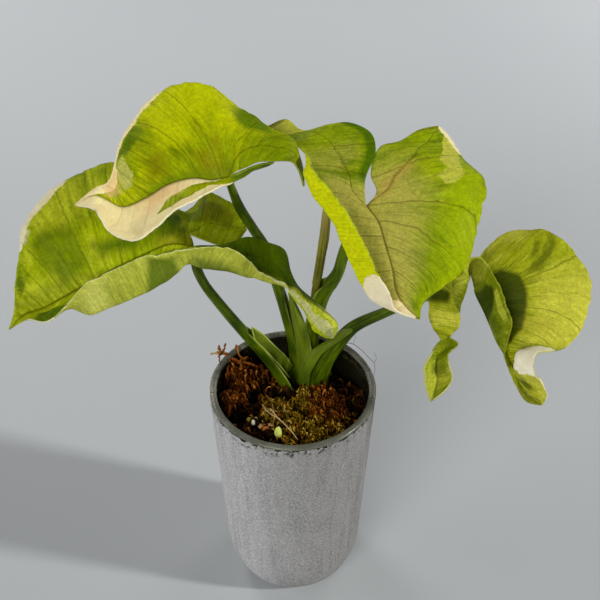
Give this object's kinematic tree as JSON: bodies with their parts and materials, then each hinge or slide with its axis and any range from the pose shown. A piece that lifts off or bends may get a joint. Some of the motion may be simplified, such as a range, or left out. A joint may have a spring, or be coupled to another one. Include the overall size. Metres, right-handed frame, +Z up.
{
  "type": "potted syngonium",
  "caption": "Young arrowhead plant with broad folded cream-marked leaves on slender sheathed stalks, standing in moss in a stone-coated glass tumbler.",
  "frame": {"origin": "centre of the pot's flat foot, on the surface that it stands on", "axes": "+Z up; +X to the right and -Y towards the viewer, as seen from the front"},
  "size_m": [0.2262, 0.0768, 0.2374],
  "materials": {
    "stone_coat": "matte",
    "glass": "polished",
    "moss": "matte",
    "stem": "satin",
    "young_leaf": "satin",
    "leaf_yellow_green": "satin",
    "leaf_green": "satin",
    "leaf_olive": "satin",
    "leaf_pale_green": "satin",
    "grain_white": "matte",
    "grain_cream": "matte",
    "grain_yellow": "matte",
    "side_shoot": "satin"
  },
  "bodies": {
    "root": {"stone_coat": "stone_coat", "glass_cup": "glass", "moss": "moss", "crown": "stem", "petiole_a": "stem", "petiole_b": "stem", "petiole_c": "stem", "petiole_d": "stem", "young_leaf": "young_leaf", "blade_a": "leaf_yellow_green", "blade_b": "leaf_green", "blade_c": "leaf_olive", "blade_d": "leaf_pale_green", "grain_white": "grain_white", "grain_cream": "grain_cream", "grain_yellow": "grain_yellow", "side_shoot": "side_shoot"}
  },
  "joints": []
}
